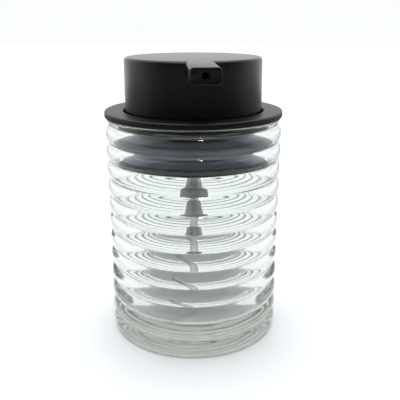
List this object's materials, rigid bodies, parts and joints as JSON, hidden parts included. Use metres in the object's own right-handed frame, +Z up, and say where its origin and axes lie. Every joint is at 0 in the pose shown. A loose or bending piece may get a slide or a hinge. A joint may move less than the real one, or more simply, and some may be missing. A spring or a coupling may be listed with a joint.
{
  "type": "soap dispenser",
  "caption": "Ribbed clear glass jar with a matte black plug-in lid and a push-down pump head with a flat side spout, for liquid soap.",
  "frame": {"origin": "centre of the jar's flat underside, on the surface it stands on", "axes": "+Z up along the jar's and the pump's axis, the spout points along -Y at rest"},
  "size_m": [0.08, 0.0905, 0.1277],
  "materials": {
    "clear_glass": "pressed clear soda-lime glass, fire polished",
    "black_plastic": "fine spark-eroded matte black ABS",
    "grey_silicone": "satin grey silicone",
    "clear_plastic": "natural translucent polypropylene or polyethylene",
    "white_plastic": "moulded white polypropylene",
    "steel": "bright stainless steel"
  },
  "bodies": {
    "jar": {"glass_jar": "clear_glass"},
    "lid": {"lid_cup": "black_plastic", "seal_sleeve": "grey_silicone", "neck_gasket": "grey_silicone", "pump_housing": "clear_plastic", "screw_collar": "white_plastic", "stem_guide": "white_plastic", "stem_seal": "grey_silicone", "ball_cage": "white_plastic", "main_spring": "steel", "dip_tube": "clear_plastic"},
    "inlet_valve": {"inlet_ball": "steel"},
    "plunger": {"piston_carrier": "white_plastic", "piston_seal": "clear_plastic"},
    "head": {"stem": "white_plastic", "spout_core": "black_plastic", "head_shell": "black_plastic"},
    "outlet_valve": {"outlet_ball": "steel"}
  },
  "joints": [
    {"name": "lid_lift", "type": "slide", "parent": "jar", "child": "lid", "axis": [0, 0, 1], "range_m": [0, 0.095]},
    {"name": "pump_press", "type": "slide", "parent": "lid", "child": "plunger", "axis": [0, 0, -1], "range_m": [0, 0.012], "stiffness_N_per_m": 500, "springref_m": -0.01, "deforming": ["main_spring"]},
    {"name": "head_turn", "type": "hinge", "parent": "plunger", "child": "head", "pos_m": [0, 0, 0.1146], "axis": [0, 0, 1], "continuous": true},
    {"name": "inlet_ball_lift", "type": "slide", "parent": "lid", "child": "inlet_valve", "axis": [0, 0, 1], "range_m": [0, 0.0018]},
    {"name": "outlet_ball_lift", "type": "slide", "parent": "head", "child": "outlet_valve", "axis": [0, 0, 1], "range_m": [0, 0.0018]}
  ]
}
